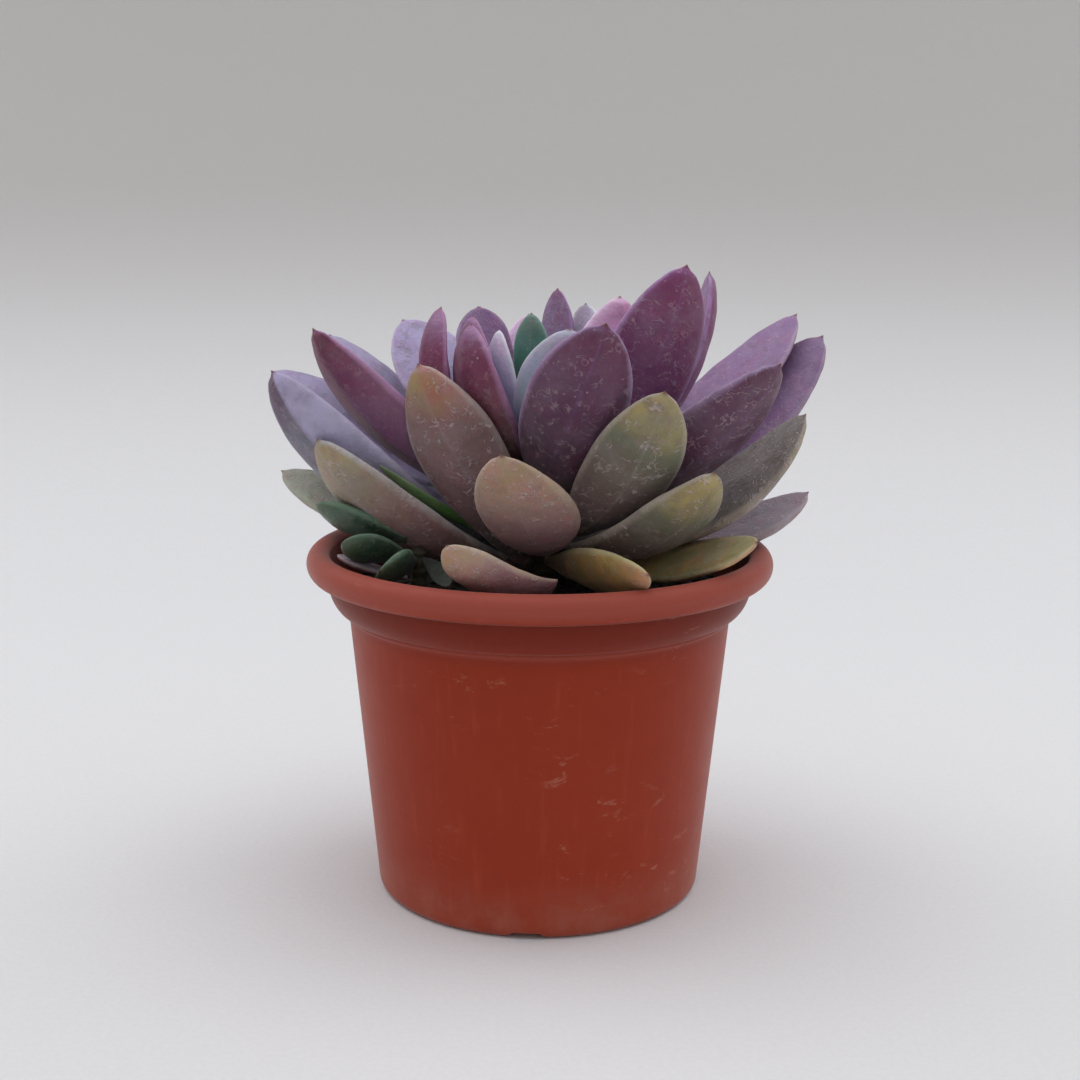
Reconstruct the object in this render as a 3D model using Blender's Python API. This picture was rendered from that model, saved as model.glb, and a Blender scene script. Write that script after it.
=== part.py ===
"""A potted succulent: a rosette of thick pointed leaves, with a small offset rosette beside it, in a
plastic nursery pot. Metres, +Z up. The origin is the middle of the pot's underside, and the plant's
front faces -Y."""

import math
from collections import namedtuple

import bmesh
import bpy
from mathutils import Vector

MM = 0.001
GAP = 0.3 * MM

# Pot
RIM_RADIUS = 50.0 * MM
RIM_HEIGHT = 75.4 * MM
RIM_OPENING_RADIUS = 45.0 * MM
BEAD_UNDERSIDE = 69.3 * MM
BEAD_WIDEST_Z = 72.3 * MM
COLLAR_START_Z = 61.8 * MM
COLLAR_RADIUS = 45.6 * MM
BASE_RADIUS = 35.3 * MM
WALL_TOP_RADIUS = 41.15 * MM
FOOT_FILLET = 2.1 * MM
WALL = 1.3 * MM
FLOOR = 2.8 * MM
POT_SEGMENTS = 48
DRAIN_COUNT = 4
DRAIN_TURN = math.radians(-4)
DRAIN_HEIGHT = 1.4 * MM
DRAIN_WIDTH_BELOW = 9.0 * MM
DRAIN_WIDTH_ABOVE = 5.6 * MM
DRAIN_HOLE_RADIUS = 4.0 * MM
DRAIN_HOLE_CENTRE = 22.0 * MM

# Soil and stems
SOIL_EDGE_Z = 66.0 * MM
SOIL_MIDDLE_Z = 69.8 * MM
STEM_RADIUS = 4.3 * MM
STEM_FOOT_Z = 60.0 * MM
STEM_TOP_Z = 105.0 * MM
OFFSET_X = -25.0 * MM
OFFSET_Y = -15.5 * MM
OFFSET_STEM_RADIUS = 1.7 * MM
OFFSET_STEM_TOP_Z = 78.0 * MM

# Leaves
ROSETTE_RADIUS = 5.5 * MM
OFFSET_ROSETTE_RADIUS = 2.4 * MM
LOOSE_X = 3.0 * MM
LOOSE_Y = -32.0 * MM
LOOSE_START = 1.0 * MM
LEAF_STATIONS = 10
LEAF_SIDES = 8
LEAF_BASE_WIDTH = 0.22
LEAF_WIDEST_AT = 0.62
LEAF_LOWER_SHARE = 0.62
LEAF_THICKNESS = 4.2 * MM
LEAF_THICKNESS_SHARE = 0.3
SPINE_STEPS = 6

# Each leaf's spine leaves the stem at a heading (0 is -Y, the front, and 90 is +X) and a height,
# rises at one slope and ends at another, and swings sideways by the sweep. The twist turns the blade
# about its spine, with the +X side up where it is positive. Angles are degrees, lengths millimetres.
Leaf = namedtuple("Leaf", "name heading height rise end_rise length width twist sweep")

LEAVES = [
    Leaf("old_leaf_front", 4.5, 76.1, 13, 55, 46, 20, 8, -37),
    Leaf("old_leaf_front_left", -62, 72, 13, 54, 54, 17.5, 31, -8),
    Leaf("old_leaf_left", -105, 75, 6, 22, 56.5, 17, -19, -1),
    Leaf("old_leaf_front_right", 42.5, 76, 0, 52, 50, 17, -20, 3),
    Leaf("old_leaf_right", 92, 76, -10, 31, 56, 19, 6, 12),
    Leaf("old_leaf_low_right", 64, 73.5, -3, 25, 51, 12, 34, -28),
    Leaf("old_leaf_low_front_right", 22.5, 73, 5, 10.5, 45.5, 12, -55, 4),
    Leaf("outer_leaf_front_left", -32, 72.4, 48, 67, 52.5, 18, 48, -44),
    Leaf("outer_leaf_front_right", 34, 78.5, 22, 57, 56, 18, -25, -12),
    Leaf("outer_leaf_left_1", -67.5, 85, 25, 57.5, 58, 17.3, 34.5, -14),
    Leaf("outer_leaf_left_2", -108, 87.5, 26, 46, 54, 19, -9, 0),
    Leaf("outer_leaf_left_3", -74.5, 74, 18, 58, 67.5, 16.8, 42, 12),
    Leaf("outer_leaf_left_4", -106, 84, 21, 30, 62.5, 20, -21, 2),
    Leaf("outer_leaf_right_1", 105, 86.5, 21, 50, 65.5, 19, 15, 2),
    Leaf("outer_leaf_right_2", 47, 80.5, 24, 49, 63, 21, -30, 25),
    Leaf("outer_leaf_right_3", 102, 81, 15, 54, 70, 21.5, 28, -5),
    Leaf("outer_leaf_right_4", 70, 77.5, 1, 58, 61, 20, 28, 6),
    Leaf("outer_leaf_back_1", 128, 79, 8, 42, 56, 18, 0, 0),
    Leaf("outer_leaf_back_2", 152, 76, 0, 37, 52, 18, 0, 0),
    Leaf("outer_leaf_back_3", 178, 79, 8, 44, 52, 19, 0, 0),
    Leaf("outer_leaf_back_4", 206, 76, 0, 37, 53, 18, 0, 0),
    Leaf("outer_leaf_back_5", 236, 79, 8, 44, 54, 18, 0, 0),
    Leaf("outer_leaf_back_6", 193, 72.8, -2, 24, 47, 16, 0, 0),
    Leaf("outer_leaf_back_7", 227, 72.8, -2, 26, 48, 16, 0, 0),
    Leaf("outer_leaf_back_8", 137, 72.8, -2, 26, 48, 16, 0, 0),
    Leaf("middle_leaf_front_1", 5, 85.5, 34, 62, 55, 20.5, -34, 31),
    Leaf("middle_leaf_front_2", 11, 89, 46, 75, 40.5, 19, -17, 5),
    Leaf("middle_leaf_front_3", -31, 92, 30, 93, 38.5, 17, -4, -26),
    Leaf("middle_leaf_left_1", -72, 89, 25, 108, 45, 15.5, -7, 16),
    Leaf("middle_leaf_left_2", -112, 92.5, 44, 50, 41, 20, -28, -7),
    Leaf("middle_leaf_right_1", 51, 83.5, 50, 72, 60.5, 19.5, -48, 15),
    Leaf("middle_leaf_right_2", 84, 88, 29, 86, 57, 17.5, 11, -1),
    Leaf("middle_leaf_right_3", 61, 95, 60, 77, 37, 18, -14, -11),
    Leaf("middle_leaf_back_1", 141, 88.5, 23, 60, 46, 17, 0, 0),
    Leaf("middle_leaf_back_2", 173, 90, 29, 60, 44, 17, 0, 0),
    Leaf("middle_leaf_back_3", 205, 87, 25, 60, 44, 17, 0, 0),
    Leaf("middle_leaf_back_4", 234, 90.5, 30, 62, 44, 16, 0, 0),
    Leaf("middle_leaf_back_5", 118, 92, 40, 72, 40, 16, 0, 0),
    Leaf("inner_leaf_1", -54, 94.5, 44, 94, 34, 14, -3, 0),
    Leaf("inner_leaf_2", -102, 104, 53, 84, 24, 14, -25, -26),
    Leaf("inner_leaf_3", -39, 99.5, 52, 92, 24.5, 9.5, -10, -14),
    Leaf("inner_leaf_4", -13, 100.5, 76, 88, 25.5, 8, 0, 0),
    Leaf("inner_leaf_5", 154, 98.5, 80, 92, 31.5, 10, -15, -7),
    Leaf("inner_leaf_6", 122, 97.5, 58, 100, 30.5, 15, 0, 6),
    Leaf("inner_leaf_7", 188, 95.5, 47, 77, 32, 13, 0, 0),
    Leaf("inner_leaf_8", 228, 98.5, 51, 80, 30, 12, 0, 0),
    Leaf("inner_leaf_9", 62, 101.5, 80, 125, 15, 8, 0, 0),
    Leaf("inner_leaf_10", 196, 103, 80, 125, 13, 7, 0, 0),
    Leaf("shoot_leaf", -57.6, 76.4, 20.6, 40.5, 38.5, 3, 43.6, -3),
]

OFFSET_LEAVES = [
    Leaf("offset_leaf_1", -94, 79.8, 16, 23, 20.2, 11, 36, 2),
    Leaf("offset_leaf_2", -64, 76.4, 14, 14.5, 15, 8.7, 50, 0),
    Leaf("offset_leaf_3", -27, 75.5, 1.5, 1, 13, 10, 50, 0),
    Leaf("offset_leaf_4", -79.5, 71.5, 17, 22.5, 15.5, 5.7, -5, 0),
    Leaf("offset_leaf_5", 22, 76, 1, -8, 21, 4, 30, -8),
]

# One old leaf has come off and lies on the soil against the front of the rim.
LOOSE_LEAVES = [
    Leaf("old_leaf_low_front", -66.5, 73.2, 4.7, 46.4, 26.2, 11, 38, 15),
]


def clear_scene():
    for thing in list(bpy.data.objects):
        bpy.data.objects.remove(thing, do_unlink=True)


def plain_material(name, colour, roughness):
    """A non-metallic Principled material of one colour."""
    material = bpy.data.materials.new(name)
    material.use_nodes = True
    shader = material.node_tree.nodes["Principled BSDF"]
    shader.inputs["Base Color"].default_value = (*colour, 1.0)
    shader.inputs["Roughness"].default_value = roughness
    shader.inputs["Metallic"].default_value = 0.0
    return material


def add_object(name, mesh, material=None):
    thing = bpy.data.objects.new(name, mesh)
    bpy.context.scene.collection.objects.link(thing)
    if material is not None:
        mesh.materials.append(material)
    return thing


def finish_mesh(name, body, smooth_angle=math.radians(40)):
    """A mesh from a bmesh, with its faces outward and its rounded parts shaded smooth."""
    bmesh.ops.recalc_face_normals(body, faces=body.faces)
    mesh = bpy.data.meshes.new(name)
    body.to_mesh(mesh)
    body.free()
    mesh.shade_smooth()
    mesh.set_sharp_from_angle(angle=smooth_angle)
    return mesh


def turned(name, profile, segments):
    """A closed solid of revolution about Z. The profile's (radius, z) points start and end on it."""
    body = bmesh.new()
    rings = []
    for radius, z in profile:
        if radius == 0:
            rings.append([body.verts.new((0, 0, z))])
            continue
        ring = []
        for k in range(segments):
            turn = 2 * math.pi * k / segments
            ring.append(body.verts.new((radius * math.cos(turn), radius * math.sin(turn), z)))
        rings.append(ring)
    for below, above in zip(rings, rings[1:]):
        for k in range(segments):
            after = (k + 1) % segments
            corners = [below[k % len(below)], below[after % len(below)]]
            corners += [above[after % len(above)], above[k % len(above)]]
            body.faces.new(dict.fromkeys(corners))
    return finish_mesh(name, body)


def arc(centre, radius_across, radius_up, start, end, count):
    """Points of an elliptic arc in a profile. The angles are degrees from the +radius direction."""
    points = []
    for k in range(count + 1):
        turn = math.radians(start + (end - start) * k / count)
        points.append((centre[0] + radius_across * math.cos(turn), centre[1] + radius_up * math.sin(turn)))
    return points


def collar(inset, rise, count):
    """The bulge below the rim, moved inward and up."""
    width = COLLAR_RADIUS - WALL_TOP_RADIUS
    height = BEAD_UNDERSIDE - COLLAR_START_Z
    centre = (WALL_TOP_RADIUS - inset, BEAD_UNDERSIDE + rise)
    return arc(centre, width, height, -90, 0, count)


def pot_profile():
    fillet_centre = (BASE_RADIUS - FOOT_FILLET, FOOT_FILLET)
    bead_across = 0.54 * (RIM_RADIUS - RIM_OPENING_RADIUS)
    bead_centre = (RIM_RADIUS - bead_across, BEAD_WIDEST_Z)
    outside = [(0, 0)] + arc(fillet_centre, FOOT_FILLET, FOOT_FILLET, -90, 0, 3)
    outside += collar(0, 0, 4)
    outside += arc(bead_centre, bead_across, RIM_HEIGHT - BEAD_WIDEST_Z, -90, 150, 9)
    inside = [(RIM_OPENING_RADIUS - 0.4 * MM, BEAD_UNDERSIDE + WALL)]
    inside += collar(WALL, WALL, 4)[-2::-1]
    inside += [(BASE_RADIUS - WALL, FLOOR + FOOT_FILLET), (BASE_RADIUS - WALL - FOOT_FILLET, FLOOR), (0, FLOOR)]
    return outside + inside


def cylinder_cutter(name, centre, radius, low, high, sides=24):
    body = bmesh.new()
    bmesh.ops.create_cone(
        body, cap_ends=True, segments=sides, radius1=radius, radius2=radius, depth=high - low
    )
    bmesh.ops.translate(body, verts=body.verts, vec=(centre[0], centre[1], (low + high) / 2))
    return cutter(name, body)


def channel_cutter(name, turn):
    """A drain channel's trapezoid, running out under the wall at one heading."""
    body = bmesh.new()
    below = -DRAIN_HEIGHT
    spread = (DRAIN_WIDTH_BELOW - DRAIN_WIDTH_ABOVE) / 2
    section = [
        (-DRAIN_WIDTH_BELOW / 2 - spread, below),
        (DRAIN_WIDTH_BELOW / 2 + spread, below),
        (DRAIN_WIDTH_ABOVE / 2, DRAIN_HEIGHT),
        (-DRAIN_WIDTH_ABOVE / 2, DRAIN_HEIGHT),
    ]
    start = [body.verts.new((across, -DRAIN_HOLE_CENTRE, z)) for across, z in section]
    face = body.faces.new(start)
    grown = bmesh.ops.extrude_face_region(body, geom=[face])
    moved = [item for item in grown["geom"] if isinstance(item, bmesh.types.BMVert)]
    bmesh.ops.translate(body, verts=moved, vec=(0, -(BASE_RADIUS + 4 * MM - DRAIN_HOLE_CENTRE), 0))
    thing = cutter(name, body)
    thing.rotation_euler.z = turn
    return thing


def cutter(name, body):
    thing = add_object(name, finish_mesh(name, body))
    thing.hide_render = True
    thing.display_type = "WIRE"
    return thing


def cut(thing, *cutters):
    for tool in cutters:
        step = thing.modifiers.new("Cut " + tool.name, "BOOLEAN")
        step.operation = "DIFFERENCE"
        step.solver = "EXACT"
        step.object = tool


def make_pot():
    material = plain_material("terracotta_plastic", (0.42, 0.095, 0.045), 0.55)
    pot = add_object("pot", turned("pot", pot_profile(), POT_SEGMENTS), material)
    for k in range(DRAIN_COUNT):
        turn = DRAIN_TURN + 2 * math.pi * k / DRAIN_COUNT
        centre = (DRAIN_HOLE_CENTRE * math.sin(turn), -DRAIN_HOLE_CENTRE * math.cos(turn))
        hole = cylinder_cutter(f"drain_hole_{k + 1}", centre, DRAIN_HOLE_RADIUS, -MM, FLOOR + MM)
        cut(pot, channel_cutter(f"drain_channel_{k + 1}", turn), hole)


def make_soil():
    wall_gap = WALL + GAP
    floor = FLOOR + GAP
    profile = [
        (0, floor),
        (BASE_RADIUS - wall_gap - FOOT_FILLET, floor),
        (BASE_RADIUS - wall_gap, floor + FOOT_FILLET),
        (WALL_TOP_RADIUS - wall_gap, COLLAR_START_Z + WALL),
        (COLLAR_RADIUS - wall_gap - 2.4 * MM, SOIL_EDGE_Z),
        (32 * MM, SOIL_MIDDLE_Z - 2 * MM),
        (16 * MM, SOIL_MIDDLE_Z - 0.4 * MM),
        (0, SOIL_MIDDLE_Z),
    ]
    soil = add_object("soil", turned("soil", profile, 40), plain_material("potting_soil", (0.02, 0.014, 0.01), 0.95))
    well = cylinder_cutter("stem_well", (0, 0), STEM_RADIUS + GAP, STEM_FOOT_Z - GAP, SOIL_MIDDLE_Z + MM)
    side_well = cylinder_cutter(
        "offset_stem_well", (OFFSET_X, OFFSET_Y), OFFSET_STEM_RADIUS + GAP, STEM_FOOT_Z - GAP, SOIL_MIDDLE_Z + MM
    )
    cut(soil, well, side_well)


def make_stem(name, place, radius, top, material):
    """A short stem that stands in its well in the soil and narrows to a blunt top."""
    profile = [
        (0, STEM_FOOT_Z),
        (0.7 * radius, STEM_FOOT_Z),
        (radius, STEM_FOOT_Z + 0.5 * radius),
        (radius, top - 0.8 * radius),
        (0.8 * radius, top - 0.25 * radius),
        (0.4 * radius, top),
        (0, top),
    ]
    stem = add_object(name, turned(name, profile, 16), material)
    stem.location = (*place, 0)


def blade_width(along):
    """Half of the blade's width as a share of the widest, from the narrow base to the pointed tip."""
    if along < LEAF_WIDEST_AT:
        swell = math.sin(along / LEAF_WIDEST_AT * math.pi / 2) ** 1.35
        return LEAF_BASE_WIDTH + (1 - LEAF_BASE_WIDTH) * swell
    past = (along - LEAF_WIDEST_AT) / (1 - LEAF_WIDEST_AT)
    return (1 - past**2.3) ** 0.75


def blade_thickness(along):
    """The blade's thickness as a share of the thickest."""
    if along < 0.5:
        return 0.45 + 0.55 * math.sin(along * math.pi)
    past = (along - 0.5) / 0.5
    return (1 - past**2.5) ** 0.6


def spine(leaf, start_radius):
    """The spine's points with their (side, upper) directions, at each station and at the tip."""
    heading = math.radians(leaf.heading)
    point = Vector((math.sin(heading) * start_radius, -math.cos(heading) * start_radius, leaf.height * MM))
    steps = LEAF_STATIONS * SPINE_STEPS
    step = leaf.length * MM / steps
    frames = []
    for k in range(steps + 1):
        along = k / steps
        turn = math.radians(leaf.heading + leaf.sweep * along)
        rise = math.radians(leaf.rise + (leaf.end_rise - leaf.rise) * along)
        outward = Vector((math.sin(turn), -math.cos(turn), 0))
        side = Vector((math.cos(turn), math.sin(turn), 0))
        ahead = outward * math.cos(rise) + Vector((0, 0, math.sin(rise)))
        upper = Vector((0, 0, math.cos(rise))) - outward * math.sin(rise)
        if k:
            point = point + (ahead + ahead_before) * (step / 2)
        ahead_before = ahead
        if k % SPINE_STEPS == 0:
            twist = math.radians(leaf.twist)
            turned_side = side * math.cos(twist) + upper * math.sin(twist)
            turned_upper = upper * math.cos(twist) - side * math.sin(twist)
            frames.append((point, turned_side, turned_upper))
    return frames


def leaf_mesh(leaf, start_radius):
    """A closed blade: a flatter upper face, a deeper rounded lower face and one point at the tip."""
    body = bmesh.new()
    frames = spine(leaf, start_radius)
    thickness = min(LEAF_THICKNESS, LEAF_THICKNESS_SHARE * leaf.width * MM)
    rings = []
    for k, (point, side, upper) in enumerate(frames[:-1]):
        along = k / LEAF_STATIONS
        half = leaf.width * MM / 2 * blade_width(along)
        depth = thickness * blade_thickness(along)
        ring = []
        for n in range(LEAF_SIDES):
            turn = 2 * math.pi * n / LEAF_SIDES
            share = 1 - LEAF_LOWER_SHARE if math.sin(turn) > 0 else LEAF_LOWER_SHARE
            offset = side * (half * math.cos(turn)) + upper * (depth * share * math.sin(turn))
            ring.append(body.verts.new(point + offset))
        rings.append(ring)
    tip = body.verts.new(frames[-1][0])
    body.faces.new(rings[0])
    for inner, outer in zip(rings, rings[1:]):
        for n in range(LEAF_SIDES):
            after = (n + 1) % LEAF_SIDES
            body.faces.new((inner[n], inner[after], outer[after], outer[n]))
    for n in range(LEAF_SIDES):
        body.faces.new((rings[-1][n], rings[-1][(n + 1) % LEAF_SIDES], tip))
    return finish_mesh(leaf.name, body, math.radians(75))


def make_leaves(leaves, place, start_radius):
    colours = {
        "old": (0.24, 0.16, 0.11),
        "outer": (0.20, 0.09, 0.12),
        "middle": (0.18, 0.06, 0.10),
        "inner": (0.16, 0.14, 0.16),
        "shoot": (0.12, 0.20, 0.09),
        "offset": (0.05, 0.10, 0.04),
    }
    for leaf in leaves:
        colour = colours[leaf.name.split("_")[0]]
        blade = add_object(leaf.name, leaf_mesh(leaf, start_radius), plain_material(leaf.name, colour, 0.5))
        blade.location = (*place, 0)


def main():
    clear_scene()
    make_pot()
    make_soil()
    stem_colour = (0.12, 0.10, 0.06)
    make_stem("stem", (0, 0), STEM_RADIUS, STEM_TOP_Z, plain_material("stem", stem_colour, 0.7))
    make_stem(
        "offset_stem",
        (OFFSET_X, OFFSET_Y),
        OFFSET_STEM_RADIUS,
        OFFSET_STEM_TOP_Z,
        plain_material("offset_stem", stem_colour, 0.7),
    )
    make_leaves(LEAVES, (0, 0), ROSETTE_RADIUS)
    make_leaves(OFFSET_LEAVES, (OFFSET_X, OFFSET_Y), OFFSET_ROSETTE_RADIUS)
    make_leaves(LOOSE_LEAVES, (LOOSE_X, LOOSE_Y), LOOSE_START)


main()
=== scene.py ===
"""The looks of a potted succulent: fleshy leaves with their bloom and water marks, damp soil and a
moulded plastic pot, on a pale sweep under soft light. Metres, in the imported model's frame."""

import math
import random
from collections import namedtuple

import bmesh
import bpy
import numpy as np
from mathutils import Matrix, Vector, noise


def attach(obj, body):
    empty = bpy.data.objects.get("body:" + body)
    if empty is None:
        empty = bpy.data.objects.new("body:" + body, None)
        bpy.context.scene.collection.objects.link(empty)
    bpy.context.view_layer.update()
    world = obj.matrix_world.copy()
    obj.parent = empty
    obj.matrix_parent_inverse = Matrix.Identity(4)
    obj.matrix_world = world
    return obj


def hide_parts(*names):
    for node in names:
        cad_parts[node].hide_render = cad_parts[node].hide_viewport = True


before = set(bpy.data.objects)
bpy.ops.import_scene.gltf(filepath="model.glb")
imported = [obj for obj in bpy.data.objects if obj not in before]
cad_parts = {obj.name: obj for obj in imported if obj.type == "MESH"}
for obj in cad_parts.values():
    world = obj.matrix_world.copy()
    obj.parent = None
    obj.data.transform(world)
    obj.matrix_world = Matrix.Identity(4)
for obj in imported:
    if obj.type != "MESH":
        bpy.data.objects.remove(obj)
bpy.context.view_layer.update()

MM = 0.001

# Pot, repeated from the construction
RIM_RADIUS = 50.0 * MM
RIM_HEIGHT = 75.4 * MM
RIM_OPENING_RADIUS = 45.0 * MM
BEAD_UNDERSIDE = 69.3 * MM
BEAD_WIDEST_Z = 72.3 * MM
COLLAR_START_Z = 61.8 * MM
COLLAR_RADIUS = 45.6 * MM
BASE_RADIUS = 35.3 * MM
WALL_TOP_RADIUS = 41.15 * MM
FOOT_FILLET = 2.1 * MM
WALL = 1.3 * MM
FLOOR = 2.8 * MM
POT_SEGMENTS = 192
DRAIN_COUNT = 4
DRAIN_TURN = math.radians(-4)
DRAIN_HEIGHT = 1.4 * MM
DRAIN_WIDTH_BELOW = 9.0 * MM
DRAIN_WIDTH_ABOVE = 5.6 * MM
DRAIN_HOLE_RADIUS = 4.0 * MM
DRAIN_HOLE_CENTRE = 22.0 * MM

# Soil and stems, repeated from the construction
SOIL_EDGE_RADIUS = COLLAR_RADIUS - WALL - 2.7 * MM
SOIL_EDGE_Z = 66.0 * MM
SOIL_MIDDLE_Z = 69.8 * MM
STEM_RADIUS = 4.3 * MM
STEM_FOOT_Z = 60.0 * MM
STEM_TOP_Z = 105.0 * MM
OFFSET_PLACE = (-25.0 * MM, -15.5 * MM)
OFFSET_STEM_RADIUS = 1.7 * MM
OFFSET_STEM_TOP_Z = 78.0 * MM

# Leaves, repeated from the construction. Angles are degrees, lengths millimetres.
ROSETTE_RADIUS = 5.5 * MM
OFFSET_ROSETTE_RADIUS = 2.4 * MM
LOOSE_PLACE = (3.0 * MM, -32.0 * MM)
LOOSE_START = 1.0 * MM
BLADE_STATIONS = 60
BLADE_SIDES = 36
LEAF_THICKNESS = 5.8 * MM
LEAF_THICKNESS_SHARE = 0.36
LEAF_UPPER_SHARE = 0.32
LEAF_BASE_WIDTH = 0.22
LOOSE_BASE_WIDTH = 0.72
LEAF_WIDEST_AT = 0.62
MUCRO_FROM = 0.972

Leaf = namedtuple("Leaf", "name heading height rise end_rise length width twist sweep skin")

LEAVES = [
    Leaf("old_leaf_front", 4.5, 76.1, 13, 55, 46, 20, 8, -37, "tan"),
    Leaf("old_leaf_front_left", -62, 72, 13, 54, 54, 17.5, 31, -8, "olive"),
    Leaf("old_leaf_left", -105, 75, 6, 22, 56.5, 17, -19, -1, "sage"),
    Leaf("old_leaf_front_right", 42.5, 76, 0, 52, 50, 17, -20, 3, "khaki"),
    Leaf("old_leaf_right", 92, 76, -10, 31, 56, 19, 6, 12, "dusty"),
    Leaf("old_leaf_low_right", 64, 73.5, -3, 25, 51, 12, 34, -28, "moss"),
    Leaf("old_leaf_low_front_right", 22.5, 73, 5, 10.5, 45.5, 12, -55, 4, "moss"),
    Leaf("outer_leaf_front_left", -32, 72.4, 48, 67, 52.5, 18, 48, -44, "blushed"),
    Leaf("outer_leaf_front_right", 34, 78.5, 22, 57, 56, 18, -25, -12, "khaki"),
    Leaf("outer_leaf_left_1", -67.5, 85, 25, 57.5, 58, 17.3, 34.5, -14, "ruby"),
    Leaf("outer_leaf_left_2", -108, 87.5, 26, 46, 54, 19, -9, 0, "lavender"),
    Leaf("outer_leaf_left_3", -74.5, 74, 18, 58, 67.5, 16.8, 42, 12, "ridged"),
    Leaf("outer_leaf_left_4", -106, 84, 21, 30, 62.5, 20, -21, 2, "lavender"),
    Leaf("outer_leaf_right_1", 105, 86.5, 21, 50, 65.5, 19, 15, 2, "mauve"),
    Leaf("outer_leaf_right_2", 47, 80.5, 24, 49, 63, 21, -30, 25, "wine"),
    Leaf("outer_leaf_right_3", 102, 81, 15, 54, 70, 21.5, 28, -5, "mauve"),
    Leaf("outer_leaf_right_4", 70, 77.5, 1, 58, 61, 20, 28, 6, "umber"),
    Leaf("outer_leaf_back_1", 128, 79, 8, 42, 56, 18, 0, 0, "mauve"),
    Leaf("outer_leaf_back_2", 152, 76, 0, 37, 52, 18, 0, 0, "olive"),
    Leaf("outer_leaf_back_3", 178, 79, 8, 44, 52, 19, 0, 0, "plum"),
    Leaf("outer_leaf_back_4", 206, 76, 0, 37, 53, 18, 0, 0, "sage"),
    Leaf("outer_leaf_back_5", 236, 79, 8, 44, 54, 18, 0, 0, "lavender"),
    Leaf("outer_leaf_back_6", 193, 72.8, -2, 24, 47, 16, 0, 0, "moss"),
    Leaf("outer_leaf_back_7", 227, 72.8, -2, 26, 48, 16, 0, 0, "tan"),
    Leaf("outer_leaf_back_8", 137, 72.8, -2, 26, 48, 16, 0, 0, "dusty"),
    Leaf("middle_leaf_front_1", 5, 85.5, 34, 62, 55, 20.5, -34, 31, "plum"),
    Leaf("middle_leaf_front_2", 11, 89, 46, 75, 40.5, 19, -17, 5, "frost"),
    Leaf("middle_leaf_front_3", -31, 92, 30, 93, 38.5, 17, -4, -26, "burgundy"),
    Leaf("middle_leaf_left_1", -72, 89, 25, 108, 45, 15.5, -7, 16, "burgundy"),
    Leaf("middle_leaf_left_2", -112, 92.5, 44, 50, 41, 20, -28, -7, "lavender"),
    Leaf("middle_leaf_right_1", 51, 83.5, 50, 72, 60.5, 19.5, -48, 15, "violet"),
    Leaf("middle_leaf_right_2", 84, 88, 29, 86, 57, 17.5, 11, -1, "violet"),
    Leaf("middle_leaf_right_3", 61, 95, 60, 77, 37, 18, -14, -11, "rosy"),
    Leaf("middle_leaf_back_1", 141, 88.5, 23, 60, 46, 17, 0, 0, "plum"),
    Leaf("middle_leaf_back_2", 173, 90, 29, 60, 44, 17, 0, 0, "mauve"),
    Leaf("middle_leaf_back_3", 205, 87, 25, 60, 44, 17, 0, 0, "burgundy"),
    Leaf("middle_leaf_back_4", 234, 90.5, 30, 62, 44, 16, 0, 0, "lavender"),
    Leaf("middle_leaf_back_5", 118, 92, 40, 72, 40, 16, 0, 0, "plum"),
    Leaf("inner_leaf_1", -54, 94.5, 44, 94, 34, 14, -3, 0, "burgundy"),
    Leaf("inner_leaf_2", -102, 104, 53, 84, 24, 14, -25, -26, "mauve"),
    Leaf("inner_leaf_3", -39, 99.5, 52, 92, 24.5, 9.5, -10, -14, "pale"),
    Leaf("inner_leaf_4", -13, 100.5, 76, 88, 25.5, 8, 0, 0, "teal"),
    Leaf("inner_leaf_5", 154, 98.5, 80, 92, 31.5, 10, -15, -7, "violet"),
    Leaf("inner_leaf_6", 122, 97.5, 58, 100, 30.5, 15, 0, 6, "pale"),
    Leaf("inner_leaf_7", 188, 95.5, 47, 77, 32, 13, 0, 0, "rosy"),
    Leaf("inner_leaf_8", 228, 98.5, 51, 80, 30, 12, 0, 0, "frost"),
    Leaf("inner_leaf_9", 62, 101.5, 80, 125, 15, 8, 0, 0, "teal"),
    Leaf("inner_leaf_10", 196, 103, 80, 125, 13, 7, 0, 0, "teal"),
    Leaf("shoot_leaf", -57.6, 76.4, 20.6, 40.5, 38.5, 3, 43.6, -3, "bright"),
]

OFFSET_LEAVES = [
    Leaf("offset_leaf_1", -94, 79.8, 16, 23, 20.2, 11, 36, 2, "green"),
    Leaf("offset_leaf_2", -64, 76.4, 14, 14.5, 15, 8.7, 50, 0, "green"),
    Leaf("offset_leaf_3", -27, 75.5, 1.5, 1, 13, 10, 50, 0, "green"),
    Leaf("offset_leaf_4", -79.5, 71.5, 17, 22.5, 15.5, 5.7, -5, 0, "dusty"),
    # This leaf takes the dark green skin that is painted shade
    Leaf("offset_leaf_5", 22, 76, 1, -8, 21, 4, 30, -8, "dim"),
]

# One old leaf has come off and lies on the soil against the front of the rim.
LOOSE_LEAVES = [
    Leaf("old_leaf_low_front", -66.5, 73.2, 4.7, 46.4, 26.2, 11, 38, 15, "tan"),
]

# Each kind of skin: the outer face from base to tip, where a dark base is partly painted shade, the inner
# face, the painted light laid on the parts that face up, and the margin, paler partly as painted highlight;
# then how much bloom, how many water marks and how rough.
Skin = namedtuple("Skin", "base belly shoulder tip upper sky margin bloom marks roughness")

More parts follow.
